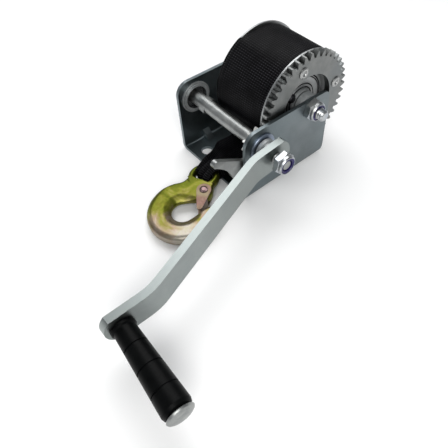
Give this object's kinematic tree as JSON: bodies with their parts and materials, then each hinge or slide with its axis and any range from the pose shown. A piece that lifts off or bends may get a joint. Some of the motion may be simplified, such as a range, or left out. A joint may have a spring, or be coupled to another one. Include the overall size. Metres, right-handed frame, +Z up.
{
  "type": "hand winch",
  "caption": "Hand winch in a bent steel bracket: a crank and gear pair turn a strap drum, held by a ratchet pawl, with a latched hook on the strap.",
  "frame": {"origin": "centre of the bracket's base, on its underside", "axes": "+Z up out of the base, +Y towards the drum end, -Y towards the hook and strap, +X towards the crank along both axles"},
  "size_m": [0.2158, 0.2766, 0.1073],
  "materials": {
    "zinc_steel": "satin zinc plate",
    "bright_steel": "bright turned steel",
    "arm_steel": "satin zinc plate",
    "black_plastic": "matt black",
    "blue_nylon": "dark blue nylon",
    "webbing": "black woven webbing",
    "yellow_zinc": "yellow passivated forging",
    "pink_zinc": "passivated sheet"
  },
  "bodies": {
    "frame": {"frame_bracket": "zinc_steel", "far_bush": "bright_steel", "near_bush": "bright_steel", "drum_axle": "bright_steel", "axle_sleeve": "bright_steel", "drum_spacer": "bright_steel", "axle_nut": "zinc_steel", "axle_nut_insert": "blue_nylon", "pawl_pin": "bright_steel", "pawl_spring": "bright_steel", "strap_tail": "webbing"},
    "drum": {"drum_hub": "zinc_steel", "far_flange": "zinc_steel", "near_flange": "zinc_steel", "wound_strap": "webbing", "ring_gear": "zinc_steel", "gear_rivets": "zinc_steel", "strap_pin": "bright_steel"},
    "crank": {"drive_shaft": "bright_steel", "shaft_circlip": "bright_steel", "shaft_collar": "bright_steel", "crank_nut": "bright_steel", "crank_nut_insert": "blue_nylon", "pinion": "bright_steel", "crank_arm": "arm_steel", "grip_pin": "bright_steel", "grip_cap": "bright_steel"},
    "grip": {"grip_sleeve": "black_plastic"},
    "pawl": {"pawl_lever": "zinc_steel"},
    "hook": {"hook_body": "yellow_zinc", "latch_rivet": "pink_zinc"},
    "latch": {"hook_latch": "pink_zinc"}
  },
  "joints": [
    {"name": "drum_spin", "type": "hinge", "parent": "frame", "child": "drum", "pos_m": [0, 0.02534, 0.0605], "axis": [1, 0, 0], "continuous": true},
    {"name": "crank_spin", "type": "hinge", "parent": "frame", "child": "crank", "pos_m": [0, -0.0293, 0.051], "axis": [1, 0, 0], "continuous": true},
    {"name": "grip_spin", "type": "hinge", "parent": "crank", "child": "grip", "pos_m": [0.0894, -0.19102, 0.03657], "axis": [0.9984, -0.0556, -0.005], "continuous": true},
    {"name": "pawl_swing", "type": "hinge", "parent": "frame", "child": "pawl", "pos_m": [0.0382, -0.033, 0.023], "axis": [1, 0, 0], "range_deg": [0, 20], "stiffness_Nm_per_rad": 0.02, "springref_deg": -28.65},
    {"name": "hook_swing", "type": "hinge", "parent": "frame", "child": "hook", "pos_m": [0.00827, -0.05271, 0.01129], "axis": [-1, 0, 0], "range_deg": [0, 30]},
    {"name": "latch_swing", "type": "hinge", "parent": "hook", "child": "latch", "pos_m": [0.02232, -0.0736, 0.00954], "axis": [-0.0317, 0.0622, -0.9976], "range_deg": [0, 25], "stiffness_Nm_per_rad": 0.005, "springref_deg": -28.65}
  ],
  "couplings": [
    {"joint": "crank_spin", "follows": "drum_spin", "ratio": -4.1}
  ]
}
